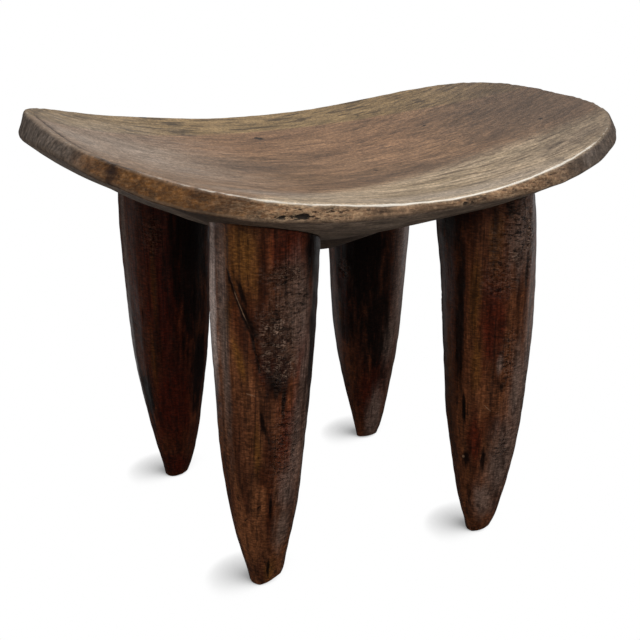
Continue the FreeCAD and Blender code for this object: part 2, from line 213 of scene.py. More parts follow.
def cut_out(piece, cutters):
    """Cut the hollows of the joints out of a skin for good, and put the cutting shapes away."""
    for cutter in cutters:
        cut = piece.modifiers.new(cutter.name, "BOOLEAN")
        cut.object = cutter
        cut.operation = "DIFFERENCE"
        cut.solver = "MANIFOLD"
    graph = bpy.context.evaluated_depsgraph_get()
    whole = piece.data
    piece.data = bpy.data.meshes.new_from_object(
        piece.evaluated_get(graph), preserve_all_data_layers=True, depsgraph=graph
    )
    piece.modifiers.clear()
    bpy.data.meshes.remove(whole)
    for cutter in cutters:
        bpy.data.meshes.remove(cutter.data)


def leg_axis(corner):
    """Where a leg's axis stands, from its box in the frame."""
    low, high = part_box(f"leg_{corner}")
    return np.array([(low.x + high.x) / 2, (low.y + high.y) / 2])


# Seat

# How the hand-carved form leaves the plain one: turn and half width in degrees, lift or inset in millimetres
LIP_LIFTS = ((15, 80, -7.5), (36, 34, 2.8), (143, 34, -5), (218, 45, -6.8), (264, 48, -3))
RIDGE_LIFTS = (
    (180, 24, 10), (218, 30, -12.5), (242, 20, -2.5), (270, 30, 3.5), (308, 28, -3.5), (338, 26, -2.2)
)
RIDGE_INSETS = ((172, 42, 5),)
# How steeply those lifts fade towards the middle, as powers of the share of the way out
LIP_LIFT_POWER, RIDGE_LIFT_POWER = 4, 8
# Flatter and fuller places of the belly in millimetres: place, radius and lift
BELLY_LIFTS = (((-228, -70), 80, 13), ((50, -150), 85, 7), ((25, -55), 55, 5.5), ((-36, -66), 30, -5))
LEFT_CORNER_TURN, LEFT_CORNER_WIDTH, LEFT_CORNER_SQUARENESS = 160, 60, 0.5
# Groove inside the lip at the left end: its turn and half turn in degrees, then its distance from the lip
LIP_GROOVE_TURN, LIP_GROOVE_HALF_TURN = 182, 40
LIP_GROOVE_INSIDE, LIP_GROOVE_HALF_WIDTH, LIP_GROOVE_DEPTH = 10 * MM, 2.2 * MM, 1.6 * MM
# Breaks of the wall in millimetres: place, half length, half height and depth. The first ones are dark
WALL_BREAKS = (
    ((-132, -196, 370.6), 5.5, 2.2, 2.4),
    ((-116, -199.4, 370.8), 8.5, 2.8, 2.2),
    ((31, -209, 368), 2.2, 2.2, 1.6),
    ((38, -209.2, 367), 1.5, 5.5, 1.4),
    ((-250, -121, 407), 9, 4, 1.6),
)
DARK_BREAKS = 4
# Spots of the seat by kind, in millimetres: place along and across it, half length, half width, and strength
SEAT_SPOTS = {
    "redness": ((83, 60, 62, 58, 1), (-80, 92, 95, 22, 1), (20, 122, 70, 18, 1)),
    "murk": (
        (-75, 8, 55, 26, 0.65), (248, 10, 85, 150, 1), (212, -138, 80, 38, 0.85), (60, -72, 110, 30, 0.65),
        (-30, -209, 70, 12, 0.5),
    ),
    "gold": ((-258, -112, 26, 26, 1), (-212, -152, 100, 50, 1)),
    "stain": ((-247, -127, 6, 7, 1),),
    "gouge": (
        (-13, 129, 5, 3.5, 1), (37, -40, 2, 2.5, 1), (221, -45, 2, 2.5, 1), (-122, 196, 7, 2.5, 1),
        (150, 60, 1.6, 2, 1),
    ),
    # paler wood along the front, and a painted sheen on the left of the dish by the lip
    "pale_and_sheen": (
        (-190, 15, 90, 130, 0.85), (-235, -5, 38, 80, 1), (-130, -150, 80, 26, 0.7), (40, -186, 110, 16, 0.8)
    ),
    # painted shade on the belly: under the front wall at the left, and beside the front left leg
    "shade": ((-200, -142, 70, 30, 0.9), (-22, -76, 36, 30, 1)),
}
# Stretches of the seat's rim by kind: turn and half width in degrees, and strength
SEAT_STRETCHES = {
    "stain": ((207, 9, 0.8),),
    "end_grain": ((176, 42, 1), (336, 50, 1)),
    "rough": ((244, 22, 1), (290, 45, 0.6)),
    "lip_band": ((188, 48, 1), (335, 34, 0.8)),
    # a painted highlight along the lower ridge at the left end
    "ridge_highlight": ((222, 48, 0.6),),
    "ridge_shade": ((270, 48, 1),),
}
# Over how many millimetres the sapwood comes in, and where over its rounding the lip's crest lies
SAPWOOD_FADE = 80
CREST = 0.42


def outline(half_length, half_width, squareness):
    """Distance from the middle to a squared oval, for each direction of RING."""
    along = np.abs(np.cos(RING) / half_length) ** squareness
    across = np.abs(np.sin(RING) / half_width) ** squareness
    return (along + across) ** (-1 / squareness)


def edge_of(surface, steps=20):
    """Distance from the middle at which the leaning rim wall meets a surface, found by repeated steps."""
    corner = hump(RING_DEGREES, LEFT_CORNER_TURN, LEFT_CORNER_WIDTH)
    squareness = OUTLINE_SQUARENESS + LEFT_CORNER_SQUARENESS * corner
    height = np.full(SEAT_COLUMNS, SEAT_HEIGHT)
    for _ in range(steps):
        half_length = HALF_LENGTH + (RIM_END - height) * END_FLARE / RIM_WALL_END
        half_width = HALF_WIDTH + (SEAT_HEIGHT - height) * SIDE_FLARE / RIM_WALL_SIDE
        distance = outline(half_length, half_width, squareness)
        height = surface(distance * np.cos(RING), distance * np.sin(RING))
    return distance


def humps(turn, amounts):
    """The sum of smooth humps round a turn in degrees, from their heights in millimetres."""
    return MM * sum(amount * hump(turn, centre, half_width) for centre, half_width, amount in amounts)


LIP_DISTANCE = edge_of(dish_height)
RIDGE_DISTANCE = edge_of(belly_height) - humps(RING_DEGREES, RIDGE_INSETS)


def round_the_middle(x, y, edge):
    """Turn of points round the seat in degrees, and how far out they lie as a share of the way to an edge."""
    turn = np.degrees(np.arctan2(y, x)) % 360
    return turn, np.hypot(x, y) / np.interp(turn, RING_DEGREES, edge, period=360)


def dish_skin(x, y):
    """Height of the carved dish: the plain one, lifted towards its lip."""
    turn, share = round_the_middle(x, y, LIP_DISTANCE)
    return dish_height(x, y) + humps(turn, LIP_LIFTS) * share ** LIP_LIFT_POWER


def belly_skin(x, y):
    """Height of the carved belly: the plain one, lifted towards its ridge and at its flatter places."""
    turn, share = round_the_middle(x, y, RIDGE_DISTANCE)
    height = belly_height(x, y) + humps(turn, RIDGE_LIFTS) * share ** RIDGE_LIFT_POWER
    for (middle_x, middle_y), radius, lift in BELLY_LIFTS:
        away = np.hypot(x - middle_x * MM, y - middle_y * MM) / (radius * MM)
        height = height + lift * MM * np.exp(-away ** 2)
    return height


def section_point(surface, distance):
    """Points of the dish or the belly at a distance from the middle, along RING."""
    x, y = distance * np.cos(RING), distance * np.sin(RING)
    return np.stack([x, y, surface(x, y)], axis=-1)


def by_row(dish, lip, wall, ridge, belly):
    """One number for each row of the seat, as a column, from one value or a list for each stretch."""
    stretches = zip((dish, lip, wall, ridge, belly), SEAT_ROWS.values())
    return np.concatenate([np.broadcast_to(value, count) for value, count in stretches])[:, None]


# Shares over the rows of the lip and of the ridge, and a fading over the first rows of the belly
OVER_LIP = np.linspace(0, 1, SEAT_ROWS["lip"])
OVER_RIDGE = np.linspace(0, 1, SEAT_ROWS["ridge"])
FADING_ROWS = 10
FADING = np.clip(1 - np.arange(SEAT_ROWS["belly"]) / FADING_ROWS, 0, 1)
ON_WALL = by_row(0, OVER_LIP, 1, 1, FADING)
# How closely the rows of the dish crowd towards its lip
DISH_CROWDING = 1.5


def seat_rings():
    """The seat as rings from the middle of the dish, over lip, wall and ridge, to the middle of the belly."""
    dish_share = 1 - (1 - np.arange(1, SEAT_ROWS["dish"] + 1) / SEAT_ROWS["dish"]) ** DISH_CROWDING
    belly_share = 1 - np.arange(SEAT_ROWS["belly"]) / SEAT_ROWS["belly"]
    dish = section_point(dish_skin, dish_share[:, None] * (LIP_DISTANCE - LIP_REACH))
    belly = section_point(belly_skin, belly_share[:, None] * (RIDGE_DISTANCE - RIDGE_REACH))
    top_edge = section_point(dish_skin, LIP_DISTANCE)
    low_edge = section_point(belly_skin, RIDGE_DISTANCE)
    wall_length = np.linalg.norm(low_edge - top_edge, axis=-1)
    wall_top, wall_foot = LIP_REACH / wall_length, 1 - RIDGE_REACH / wall_length
    down = wall_top + (wall_foot - wall_top) * np.linspace(0, 1, SEAT_ROWS["wall"])[:, None]
    wall = top_edge + (low_edge - top_edge) * down[..., None]
    lip = bezier(dish[-1], top_edge, wall[0], SEAT_ROWS["lip"])
    ridge = bezier(wall[-1], low_edge, belly[0], SEAT_ROWS["ridge"])
    return np.concatenate([dish, lip, wall, ridge, belly])


def lip_groove(rings):
    """The groove inside the lip as a field: 1 along its middle, fading to its sides and ends."""
    from_lip = LIP_DISTANCE - np.hypot(rings[..., 0], rings[..., 1])
    profile = np.exp(-((from_lip - LIP_GROOVE_INSIDE) / LIP_GROOVE_HALF_WIDTH) ** 2)
    return profile * hump(RING_DEGREES, LIP_GROOVE_TURN, LIP_GROOVE_HALF_TURN)


def wall_break(rings, place, half_length, half_height):
    """One break of the wall as a field: 1 in its middle, fading over its half length and half height."""
    away = rings - np.array(place) * MM
    along = np.hypot(away[..., 0], away[..., 1]) / (half_length * MM)
    return np.exp(-along ** 2 - (away[..., 2] / (half_height * MM)) ** 2)


def seat_carving(rings):
    """How far the carver's tools left each point of the seat in or out of the plain form."""
    on_dish = by_row(1, 1 - OVER_LIP, 0, 0, 0)
    on_lip = by_row(0, tent(OVER_LIP, 0.5, 0.5), 0, 0, 0)
    on_belly = by_row(0, 0, 0, 0, 1 - FADING)
    lengthways = rings * (0.45, 1, 1)
    # Rows, points, height and length of each set of waves, in millimetres, and its seed
    waves = (
        (on_dish, lengthways, 0.4, 120, 3),
        (on_dish, lengthways, 0.1, 34, 4),
        (ON_WALL, rings, 0.5, 120, 5),
        (ON_WALL, rings, 0.25, 26, 6),
        (on_lip, rings, 0.25, 9, 9),
    )
    depth = on_belly * 0.9 * MM * (1 - np.abs(ripple(lengthways, 80 * MM, 7)))
    for rows, points, height, length, seed in waves:
        depth += rows * height * MM * ripple(points, length * MM, seed)
    depth -= LIP_GROOVE_DEPTH * lip_groove(rings) * on_dish
    for *form, deep in WALL_BREAKS:
        depth -= deep * MM * wall_break(rings, *form)
    return depth


def knife_flats(rings, seed=8, count=34, share=0.3):
    """The wall as a carver leaves it: partly drawn in to the chords between uneven breaks round the seat."""
    rng = np.random.default_rng(seed)
    breaks = (np.arange(count) + rng.uniform(-0.3, 0.3, count)) * SEAT_COLUMNS / count
    breaks = np.unique(np.round(breaks).astype(int) % SEAT_COLUMNS)
    columns = np.concatenate([breaks, breaks[:1] + SEAT_COLUMNS])
    wanted = np.arange(SEAT_COLUMNS) + np.where(np.arange(SEAT_COLUMNS) < breaks[0], SEAT_COLUMNS, 0)
    after = np.clip(np.searchsorted(columns, wanted, side="right"), 1, len(columns) - 1)
    start, end = columns[after - 1], columns[after]
    part = ((wanted - start) / (end - start))[:, None]
    chord = rings[:, start % SEAT_COLUMNS] * (1 - part) + rings[:, end % SEAT_COLUMNS] * part
    return rings + (chord - rings) * (share * ON_WALL)[..., None]


def seat_fields(rings):
    """Fields of the seat's wood, wear, painted highlights, sheen and shade by name, most of them the highest
    of their spots and stretches.

    The two sapwoods come in along parabolas over the seat's length. A half marks a field's edge.
    """
    x, y = rings[..., 0] / MM, rings[..., 1] / MM
    back_edge = 152 - 78 * (x / 228) ** 2
    front_edge = -79 - 72 * ((x - 140) / 234) ** 2
    on_lip = by_row(0, tent(OVER_LIP, CREST, 0.42, 1.2), 0, 0, 0)
    on_crest = by_row(0, tent(OVER_LIP, CREST, 0.29, 1.2), 0, 0, 0)
    on_ridge = by_row(0, 0, 0, tent(OVER_RIDGE, 0.3, 0.4), 0)
    below_ridge = by_row(0, 0, 0, tent(OVER_RIDGE, 0.6, 0.4), 0)
    on_belly = by_row(0, 0, 0, OVER_RIDGE, 1)
    whole = np.ones_like(x)
    fields = {
        kind: np.maximum.reduce([
            strength * spot(x - along, y - across, *sizes) for along, across, *sizes, strength in spots
        ])
        for kind, spots in SEAT_SPOTS.items()
    }
    stretch = {
        kind: np.maximum.reduce([strength * hump(RING_DEGREES, at, half) for at, half, strength in stretches])
        for kind, stretches in SEAT_STRETCHES.items()
    }
    breaks = [wall_break(rings, *form) for *form, _ in WALL_BREAKS[:DARK_BREAKS]]
    # The lip's crest is worn smooth, and is painted with a pale highlight along these turns
    painted_highlight = np.maximum(0.3 + 0.7 * hump(RING_DEGREES, 282, 58), 0.55 * hump(RING_DEGREES, 233, 34))
    return {
        **fields,
        "back_sapwood": np.clip(0.5 + (y - back_edge) / SAPWOOD_FADE, 0, 1),
        "front_sapwood": np.clip(0.5 + (front_edge - y) / SAPWOOD_FADE, 0, 1),
        "stain": np.maximum(fields["stain"], on_lip * stretch["stain"]),
        "gouge": np.maximum.reduce([fields["gouge"], *breaks]),
        "shade": on_belly * fields["shade"],
        "end_grain": whole * stretch["end_grain"],
        "rough": whole * stretch["rough"],
        "lip_band": np.maximum(on_lip * stretch["lip_band"], on_ridge * stretch["ridge_highlight"]),
        "ridge_shade": below_ridge * stretch["ridge_shade"],
        "wall": whole * by_row(0, np.clip(2 * OVER_LIP - 0.8, 0, 1), 1, 1 - 0.3 * OVER_RIDGE, 0),
        "belly": whole * on_belly,
        "wear_and_highlight": on_crest * painted_highlight,
        # painted shade along the groove inside the lip
        "groove": lip_groove(rings),
    }


def make_seat():
    """The seat's skin, with the marks of its carving, its painted fields and its mortises."""
    rings = knife_flats(seat_rings())
    rings = rings + outward(rings) * seat_carving(rings)[..., None]
    piece = closed_skin("seat_skin", rings)
    paint(piece, seat_fields(rings))
    levels = BOSS_LOW - TENON_RADIUS, TENON_TOP + TENON_END_GAP
    mortises = []
    for corner in CORNERS:
        flat = leg_axis(corner) + TURN_WAYS * (TENON_RADIUS + TENON_CLEARANCE)
        mortises.append(cutter_between(f"mortise_{corner}", (flat, flat), levels))
    cut_out(piece, mortises)
    return piece


# Legs

# Where each leg leaves the plain form: turn from the front and half width in degrees,
# then height, half height and swell in millimetres
LEG_SWELLS = {
    "front_left": (
        (67, 60, 310, 70, 3.5), (67, 60, 180, 70, -1), (67, 60, 5, 25, 3), (-113, 60, 345, 60, -4),
        (-10, 40, 262, 38, 1.6),
    ),
    "front_right": (
        (56, 70, 375, 60, -13), (56, 60, 285, 50, -3.5), (-124, 80, 370, 75, 9.5), (-124, 60, 100, 55, -2.2),
        (-124, 70, 10, 60, -2),
    ),
    "back_left": (
        (-109, 60, 300, 50, 1.6), (-109, 60, 200, 110, 2.5), (-109, 60, 40, 50, -2.2), (71, 60, 110, 50, -1.8)
    ),
    "back_right": ((-118, 70, 345, 90, 5), (-118, 70, 20, 60, -5), (62, 60, 10, 50, 1.5)),
}
# How each foot is cut off: the turn that its sole rises towards in degrees, and by how many millimetres
FOOT_BEVELS = {"front_left": (67, 7), "front_right": (56, 5), "back_left": (71, 3.5), "back_right": (20, 3)}
# How far before the axis a bevel starts, as a share of the foot's radius, and how high it reaches up the leg
BEVEL_START, BEVEL_HEIGHT = 0.3, 30 * MM
# Marks of each leg by kind: turn in degrees, then height, half width and half height in millimetres,
# and for some of them a lean in degrees
LEG_MARKS = {
    "front_left": {
        "gold": (
            (-42, 332, 17, 34), (-62, 282, 5, 26, -8), (-50, 240, 4, 20, 12), (-30, 150, 3, 22),
            (-3, 18, 5, 12),
        ),
        "redness": ((8, 338, 24, 24), (26, 236, 8, 26), (14, 160, 12, 50), (-8, 228, 14, 14)),
        "stain": (
            (-8, 219, 9, 14), (3, 194, 2, 18), (-21, 174, 2.2, 16, 14), (-12, 90, 1.4, 14),
            (-36, 272, 3, 15, 24), (-44, 300, 2, 14, 20), (-11, 22, 1.4, 12), (48, 262, 7, 80),
            (44, 335, 13, 40), (16, 358, 16, 5),
        ),
        "rough": ((4, 313, 19, 12), (-4, 256, 18, 34), (14, 288, 16, 14), (8, 150, 12, 44)),
        # pale grey places: wax bloom, and painted sheen along the edges of the leg
        "bloom_and_sheen": (
            (14, 112, 9, 26), (16, 66, 8, 22), (18, 278, 14, 46), (-70, 265, 6, 95), (46, 200, 5, 140),
            (38, 218, 11, 40), (27, 150, 9, 60),
        ),
        "burl": ((-8, 258, 12, 28), (4, 313, 14, 8), (4, 232, 10, 14)),
        # a painted highlight strip down the left edge of the leg
        "painted_highlight": ((-93, 296, 9, 68),),
        # painted shade under the seat, round the crack and down the right side; the small low ones are soft
        # stains
        "shade": (
            (-36, 266, 10, 34, 20), (-21, 312, 3, 44), (50, 300, 12, 90), (-4, 224, 9, 16), (0, 362, 40, 7),
            (-20, 125, 5, 9), (24, 98, 6, 8), (-13, 100, 2.5, 32), (-15, 142, 3, 22),
        ),
    },
    "front_right": {
        "gold": ((-50, 262, 4.5, 34), (-92, 170, 6, 55), (-46, 198, 4.5, 26), (-30, 320, 6, 30)),
        "redness": ((-30, 238, 11, 44), (-46, 112, 7, 26)),
        "stain": (
            (-70, 235, 4.5, 76), (-63, 145, 2, 16), (-12, 171, 3.5, 6), (-60, 92, 4, 9), (-85, 335, 14, 26),
            (-15, 347, 7, 8), (-30, 90, 2.5, 14), (12, 290, 2, 18),
        ),
        "rough": ((-2, 322, 22, 34), (-4, 200, 7, 26), (-2, 100, 9, 12), (-20, 285, 14, 20)),
        "bloom_and_sheen": (
            (-16, 194, 3, 9), (8, 324, 17, 38), (8, 92, 16, 48), (32, 172, 11, 115), (14, 165, 9, 46),
            (24, 98, 10, 30), (-20, 42, 10, 20),
        ),
        "burl": ((16, 322, 8, 22), (0, 300, 10, 8)),
        # mostly painted shade: under the seat and down the left side
        "shade": (
            (-95, 260, 16, 120), (-60, 350, 30, 14), (-116, 285, 18, 50), (-22, 128, 9, 12), (30, 338, 12, 14)
        ),
    },
    "back_left": {
        "gold": ((-40, 230, 3, 40), (-48, 150, 3, 30)),
        "redness": ((-25, 240, 30, 120), (-20, 100, 26, 60), (-20, 18, 16, 15)),
        # the first two are painted shade down the side towards the other legs; the last is a dark stain
        "stain": ((12, 270, 22, 110), (30, 140, 10, 60), (-74, 100, 12, 30)),
        "rough": ((-38, 285, 9, 16),),
        "bloom_and_sheen": ((-88, 290, 5, 60),),
    },
    "back_right": {
        "gold": ((-78, 170, 4, 24),),
        "redness": ((-70, 190, 9, 60), (-10, 70, 16, 40)),
        # painted shade: this leg stands in the shade of the seat and of the other legs
        "stain": ((-38, 250, 30, 110), (-10, 150, 14, 60)),
        "rough": ((-66, 215, 7, 10),),
        "bloom_and_sheen": ((44, 206, 18, 120), (14, 132, 10, 30), (4, 34, 10, 36)),
    },
}
# How many seeded marks of each kind the far side of a leg gets, and between which values each number lies
STRAY_MARKS = {
    "gold": 4, "redness": 6, "stain": 4, "rough": 3, "bloom_and_sheen": 3, "burl": 1, "painted_highlight": 0, "shade": 4
}
STRAY_RANGES = ((75, 240), (40, 330), (3, 13), (14, 55), (-8, 8))
# Painted shade over each whole leg, from 0 to 1, for the legs that stand less lit than the front left one
LEG_PAINTED_SHADE = {"front_left": 0.0, "front_right": 0.35, "back_left": 0.75, "back_right": 0.7}
# Crack of the front left leg: turn in degrees and height in millimetres of its corners
CRACK = ((-60, 314), (-46, 286), (-33, 258), (-26, 228))
CRACK_HALF_WIDTH, CRACK_DEPTH = 1.7 * MM, 1.5 * MM
# Rings on the end of a tenon, as shares of its radius
TENON_END = (0.5, 0.97)
# Depth of the knife's chatter, of pits and of stains in millimetres, and the chatter's pitch
CHATTER_DEPTH, PIT_DEPTH, STAIN_DEPTH = 0.2, 0.9, 0.4
CHATTER_PITCH = 5 * MM


def leg_profile(height):
    """Radius of a plain leg at a height: two arcs that meet smoothly at the waist, upright at the crown."""
    swell, rise = CROWN_RADIUS - WAIST_RADIUS, CROWN_HEIGHT - WAIST_HEIGHT
    upper = arc_radius(rise, swell)
    lean = np.array([CROWN_RADIUS - upper - WAIST_RADIUS, rise]) / upper
    taper = np.array([FOOT_RADIUS - WAIST_RADIUS, -WAIST_HEIGHT])
    lower = (taper @ taper) / (2 * taper @ lean)
    centre = np.array([WAIST_RADIUS, WAIST_HEIGHT]) + lean * lower
    above = CROWN_RADIUS - upper + np.sqrt(np.maximum(upper ** 2 - (height - CROWN_HEIGHT) ** 2, 0))
    below = centre[0] + np.sqrt(np.maximum(lower ** 2 - (height - centre[1]) ** 2, 0))
    return np.where(height > WAIST_HEIGHT, above, below)


def leg_flats(height, seed, count=11, sharpness=400):
    """How the knife's long flats narrow a leg along TURN, as a share: the soft least of planes round it."""
    rng = np.random.default_rng(seed)
    nearest = np.full_like(height, math.exp(-sharpness))
    for number in range(count):
        centre = (number + rng.uniform(-0.3, 0.3)) * FULL_TURN / count
        sway, depth_wave = rng.uniform(0, FULL_TURN, 2)
        centre = centre + 0.08 * np.sin(height / (95 * MM) + sway)
        depth = 0.988 + 0.007 * np.sin(height / (70 * MM) + depth_wave)
        nearest += np.exp(-sharpness * depth / np.maximum(np.cos(TURN - centre), 0.5))
    return -np.log(nearest) / sharpness


def leg_radius(corner, height):
    """Radius of a carved leg along TURN at a height for each: the plain one with its swells and its flats."""
    radius = leg_profile(height)
    for centre, half_width, level, half_height, swell in LEG_SWELLS[corner]:
        reach = np.exp(-((height / MM - level) / half_height) ** 2)
        radius = radius + swell * MM * hump(TURN_DEGREES, centre, half_width) * reach
    return radius * leg_flats(height, 100 + CORNERS.index(corner))


def leg_rings(corner):
    """A leg as rings from the top of its tenon, over the shoulder and down its side, to the sole."""
    middle = leg_axis(corner)

    def rows(values):
        return np.asarray(values)[:, None] + 0 * TURN

    def points(radius, height):
        radius, height = np.broadcast_arrays(radius, height)
        return np.concatenate([middle + TURN_WAYS * radius[..., None], height[..., None]], axis=-1)

    def shoulder_height(radius):
        flat = middle + TURN_WAYS * radius[..., None]
        return belly_skin(flat[..., 0], flat[..., 1]) - GLUE_LINE

    crown = CROWN_RADIUS + 0 * TURN
    for _ in range(10):
        crown = leg_radius(corner, shoulder_height(crown))
    root = shoulder_height(TENON_RADIUS + 0 * TURN)
    tenon_end = points(TENON_RADIUS * rows(TENON_END), TENON_TOP)
    down = rows(np.linspace(0.01, 1, LEG_ROWS["tenon"]))
    tenon = points(TENON_RADIUS, TENON_TOP + (root - TENON_TOP) * down)
    radius = TENON_RADIUS + (crown - TENON_RADIUS) * rows(np.linspace(0.05, 0.98, LEG_ROWS["shoulder"]))
    shoulder = points(radius, shoulder_height(radius))
    share = rows(np.linspace(1, 0, LEG_ROWS["side"]))
    height = FOOT_ROUNDING + (shoulder_height(crown) - FOOT_ROUNDING) * share
    side = points(leg_radius(corner, height), height)
    foot = leg_radius(corner, FOOT_ROUNDING + 0 * TURN)
    bend = rows(np.linspace(0.1, 1, LEG_ROWS["rounding"]) * math.pi / 2)
    rounding = points(foot - FOOT_ROUNDING * (1 - np.cos(bend)), FOOT_ROUNDING * (1 - np.sin(bend)))
    sole = points((foot - FOOT_ROUNDING) * rows(np.linspace(0.9, 0.2, LEG_ROWS["sole"])), 0.0)
    return np.concatenate([tenon_end, tenon, shoulder, side, rounding, sole])


def leg_fields(corner, height):
    """Fields of a leg's marks by kind along TURN, from its list and from seeded ones round its far side."""
    rng = np.random.default_rng(40 + CORNERS.index(corner))
    girth = leg_profile(height) / MM
    fields = {}
    for kind, count in STRAY_MARKS.items():
        strays = [[rng.uniform(*limits) for limits in STRAY_RANGES] for _ in range(count)]
        field = np.zeros_like(height)
        for at, level, *form in (*LEG_MARKS[corner].get(kind, ()), *strays):
            across = np.radians(turned(TURN_DEGREES, at)) * girth
            field = np.maximum(field, spot(across, height / MM - level, *form))
        fields[kind] = field
    # Painted shade: the leg's whole level, raised where its shade marks lie, some of which are soft stains
    fields["shade_and_stain"] = np.maximum(LEG_PAINTED_SHADE[corner], np.clip(1.5 * fields.pop("shade"), 0, 0.8))
    return fields


def crack_distance(height):
    """Distance over a leg's surface from the crack, along TURN: the least distance to its straight pieces."""
    girth = leg_profile(height)
    nearest = np.full_like(height, 1.0)
    for (turn, level), (next_turn, next_level) in zip(CRACK, CRACK[1:]):
        across, along = np.radians(turned(TURN_DEGREES) - turn) * girth, height - level * MM
        run, rise = np.radians(next_turn - turn) * girth, (next_level - level) * MM
        share = np.clip((across * run + along * rise) / (run ** 2 + rise ** 2), 0, 1)
        nearest = np.minimum(nearest, np.hypot(across - run * share, along - rise * share))
    return nearest


def leg_carving(rings, fields, seed):
    """How far the tools left each point of a leg in or out: waves, chatter and pits where it is rough."""
    rough = np.clip((fields["rough"] - 0.35) / 0.3, 0, 1)
    stained = np.clip((fields["stain"] - 0.4) / 0.3, 0, 1)
    warped = rings[..., 2] + 2.2 * MM * ripple(rings, 26 * MM, seed + 1)
    chatter = np.sin(warped * FULL_TURN / CHATTER_PITCH) * (0.6 + 0.4 * ripple(rings, 18 * MM, seed + 2))
    pits = np.maximum(ripple(rings, 8 * MM, seed + 3) - 0.3, 0)
    waves = 0.45 * ripple(rings * (1, 1, 0.5), 60 * MM, seed + 4) + 0.1 * ripple(rings, 16 * MM, seed + 5)
    return MM * (waves + rough * (CHATTER_DEPTH * chatter - PIT_DEPTH * pits) - STAIN_DEPTH * stained)


def facing(turn):
    """The way outwards from a leg's axis at a turn from the front in degrees."""
    return np.array([math.sin(math.radians(turn)), -math.cos(math.radians(turn))])


def make_leg(corner):
    """One leg's skin: its carving, its painted fields, its bevelled foot and the kerf across its tenon."""
    middle = leg_axis(corner)
    rings = leg_rings(corner)
    height = rings[..., 2].copy()
    fields = leg_fields(corner, height)
    first = len(TENON_END) + LEG_ROWS["tenon"] + LEG_ROWS["shoulder"]
    on_side = np.zeros((len(rings), 1))
    on_side[first:-LEG_ROWS["sole"]] = 1
    fading = np.clip((height[first] - height) / (5 * MM), 0, 1) * np.clip(height / (12 * MM), 0, 1)
    depth = leg_carving(rings, fields, 100 + 10 * CORNERS.index(corner))
    if corner == "front_left":
        crack = np.exp(-(crack_distance(height) / CRACK_HALF_WIDTH) ** 2)
        depth -= CRACK_DEPTH * crack
        fields["stain"] = np.maximum(fields["stain"], 0.8 * crack)
    rings = rings + outward(rings) * (depth * on_side * fading)[..., None]
    turn, rise = FOOT_BEVELS[corner]
    along = ((rings[..., :2] - middle) @ facing(turn)) / FOOT_RADIUS
    bevel = np.clip((along + BEVEL_START) / (1 + BEVEL_START), 0, 1)
    rings[..., 2] += rise * MM * bevel * np.clip(1 - height / BEVEL_HEIGHT, 0, 1) ** 2
    piece = closed_skin(f"leg_skin_{corner}", rings)
    paint(piece, fields)
    reach = TENON_RADIUS + 2 * TENON_CLEARANCE
    corners = np.array([(-1, -1), (1, -1), (1, 1), (-1, 1)])
    flats = [middle + corners * (thickness / 2, reach) for thickness in (WEDGE_TIP, WEDGE_BUTT)]
    cut_out(piece, [cutter_between(f"kerf_{corner}", flats, (WEDGE_FOOT, TENON_TOP + TENON_END_GAP))])
    return piece


def leg_place(corner, turn, height):
    """A place on a leg's surface from its turn in degrees and its height in millimetres."""
    radius = np.interp(turn % 360, TURN_DEGREES, leg_radius(corner, height * MM + 0 * TURN), period=360)
    x, y = leg_axis(corner) + radius * facing(turn)
    return float(x), float(y), height * MM


# Finishes


def tone(red, green, blue):
    """A colour from its screen values, 0 to 255."""
    screen = np.array([red, green, blue]) / 255
    linear = np.where(screen <= 0.04045, screen / 12.92, ((screen + 0.055) / 1.055) ** 2.4)
    return (*linear.tolist(), 1.0)


